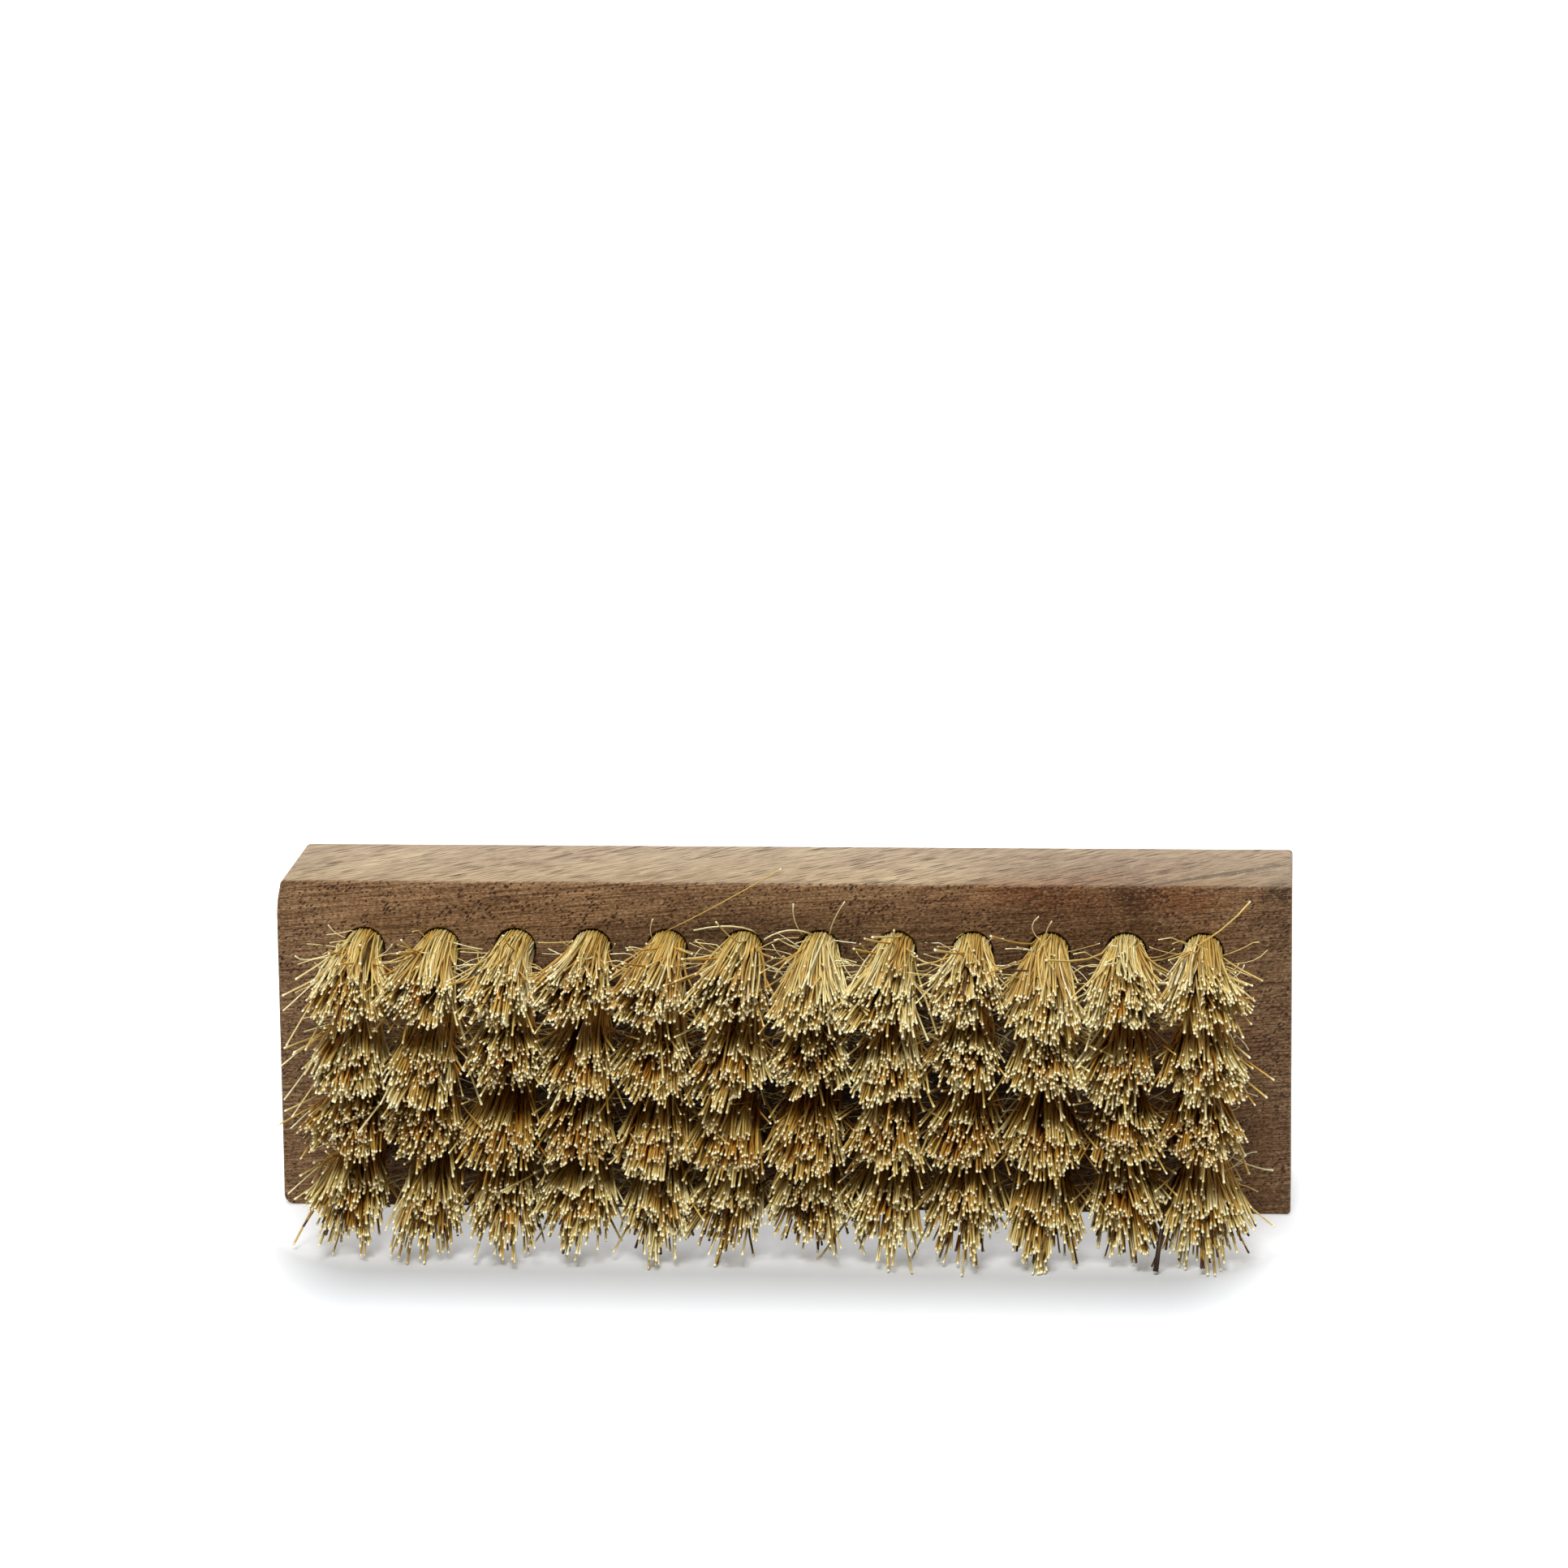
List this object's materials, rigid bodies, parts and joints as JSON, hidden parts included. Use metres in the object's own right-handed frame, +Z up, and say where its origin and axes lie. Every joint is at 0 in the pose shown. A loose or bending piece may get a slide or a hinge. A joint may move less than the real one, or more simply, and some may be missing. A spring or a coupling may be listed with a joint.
{
  "type": "cleaning brush",
  "caption": "Rectangular wooden hand brush with stiff straw-coloured plant-fibre tufts in drilled holes, for scrubbing shoes and fabric.",
  "frame": {"origin": "middle of the block's long side that it stands on", "axes": "+X along the block, +Z up across the block's width, -Y out of the bristle face"},
  "size_m": [0.133, 0.0481, 0.044],
  "materials": {
    "oiled_wood": "oiled, satin, open pores",
    "plant_fibre": "matte, stiff fibres",
    "anchor_wire": "flat drawn wire"
  },
  "bodies": {
    "root": {"wooden_block": "oiled_wood", "bristle_row_1": "plant_fibre", "bristle_row_2": "plant_fibre", "bristle_row_3": "plant_fibre", "bristle_row_4": "plant_fibre", "anchor_1_01": "anchor_wire", "anchor_1_02": "anchor_wire", "anchor_1_03": "anchor_wire", "anchor_1_04": "anchor_wire", "anchor_1_05": "anchor_wire", "anchor_1_06": "anchor_wire", "anchor_1_07": "anchor_wire", "anchor_1_08": "anchor_wire", "anchor_1_09": "anchor_wire", "anchor_1_10": "anchor_wire", "anchor_1_11": "anchor_wire", "anchor_1_12": "anchor_wire", "anchor_2_01": "anchor_wire", "anchor_2_02": "anchor_wire", "anchor_2_03": "anchor_wire", "anchor_2_04": "anchor_wire", "anchor_2_05": "anchor_wire", "anchor_2_06": "anchor_wire", "anchor_2_07": "anchor_wire", "anchor_2_08": "anchor_wire", "anchor_2_09": "anchor_wire", "anchor_2_10": "anchor_wire", "anchor_2_11": "anchor_wire", "anchor_2_12": "anchor_wire", "anchor_3_01": "anchor_wire", "anchor_3_02": "anchor_wire", "anchor_3_03": "anchor_wire", "anchor_3_04": "anchor_wire", "anchor_3_05": "anchor_wire", "anchor_3_06": "anchor_wire", "anchor_3_07": "anchor_wire", "anchor_3_08": "anchor_wire", "anchor_3_09": "anchor_wire", "anchor_3_10": "anchor_wire", "anchor_3_11": "anchor_wire", "anchor_3_12": "anchor_wire", "anchor_4_01": "anchor_wire", "anchor_4_02": "anchor_wire", "anchor_4_03": "anchor_wire", "anchor_4_04": "anchor_wire", "anchor_4_05": "anchor_wire", "anchor_4_06": "anchor_wire", "anchor_4_07": "anchor_wire", "anchor_4_08": "anchor_wire", "anchor_4_09": "anchor_wire", "anchor_4_10": "anchor_wire", "anchor_4_11": "anchor_wire", "anchor_4_12": "anchor_wire"}
  },
  "joints": []
}
